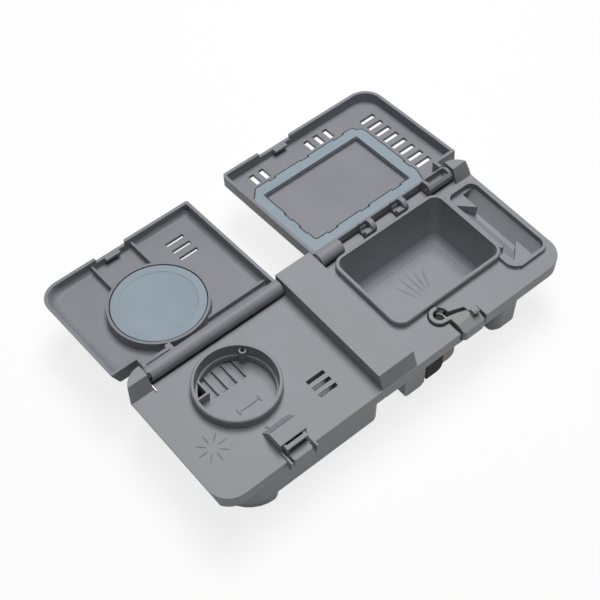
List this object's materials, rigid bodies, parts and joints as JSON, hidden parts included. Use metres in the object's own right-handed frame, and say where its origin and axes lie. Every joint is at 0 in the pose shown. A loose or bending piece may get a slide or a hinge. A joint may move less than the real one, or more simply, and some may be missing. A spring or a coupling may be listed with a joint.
{
  "type": "detergent dispenser",
  "caption": "Dishwasher door dispenser with a covered detergent cup, an open prewash pocket and a covered rinse aid filler; both lids fold open on one hinge line",
  "frame": {"origin": "centre of the flange's seat on the door panel, which is the centre of the four mounting holes", "axes": "+X along the latch edge from the rinse side to the detergent side, +Y from the latch edge to the hinge edge, +Z out of the front face"},
  "size_m": [0.2428, 0.1725, 0.0472],
  "materials": {
    "housing_plastic": "satin, fine grain",
    "lid_plastic": "satin",
    "latch_plastic": "satin",
    "seal_rubber": "soft matt",
    "steel": "bright drawn wire",
    "zinc": "zinc plated",
    "blackened_steel": "blackened spring steel",
    "black_plastic": "matt",
    "coil_tape": "lacquered",
    "drive_plastic": "natural white"
  },
  "bodies": {
    "housing": {"front_housing": "housing_plastic", "tank_cover": "housing_plastic", "rear_cover": "housing_plastic", "cover_screws": "zinc", "rinse_hinge_pin": "steel", "rinse_lid_spring": "steel", "detergent_lid_spring": "steel", "rinse_latch_spring": "steel", "latch_clip": "blackened_steel", "actuator_case": "black_plastic", "actuator_coil": "coil_tape", "actuator_terminals": "zinc", "plunger_spring": "steel"},
    "rinse_cover": {"rinse_lid": "lid_plastic", "rinse_seal": "seal_rubber"},
    "detergent_cover": {"detergent_lid": "lid_plastic", "detergent_seal": "seal_rubber", "detergent_hinge_pins": "steel"},
    "rinse_catch": {"rinse_latch": "housing_plastic"},
    "detergent_catch": {"detergent_latch": "latch_plastic"},
    "drive": {"actuator_plunger": "zinc", "drive_slide": "drive_plastic"}
  },
  "joints": [
    {"name": "rinse_lid_hinge", "type": "hinge", "parent": "housing", "child": "rinse_cover", "pos_m": [-0.0605, 0.04, 0.0117], "axis": [1, 0, 0], "range_deg": [0, 185], "stiffness_Nm_per_rad": 0.004, "springref_deg": -40.11},
    {"name": "detergent_lid_hinge", "type": "hinge", "parent": "housing", "child": "detergent_cover", "pos_m": [0.0595, 0.04, 0.0117], "axis": [1, 0, 0], "range_deg": [0, 185], "stiffness_Nm_per_rad": 0.004, "springref_deg": -40.11},
    {"name": "rinse_latch_slide", "type": "slide", "parent": "housing", "child": "rinse_catch", "axis": [0, 1, 0], "range_m": [0, 0.0025], "stiffness_N_per_m": 40, "springref_m": -0.0025},
    {"name": "detergent_latch_pivot", "type": "hinge", "parent": "housing", "child": "detergent_catch", "pos_m": [0.0375, -0.0285, 0.0085], "axis": [0, 0, 1], "range_deg": [0, 7]},
    {"name": "actuator_plunger_slide", "type": "slide", "parent": "housing", "child": "drive", "axis": [0, -1, 0], "range_m": [0, 0.00116], "stiffness_N_per_m": 30, "springref_m": -0.0015}
  ],
  "couplings": [
    {"joint": "detergent_latch_pivot", "follows": "actuator_plunger_slide", "rad_per_m": 105.3}
  ]
}
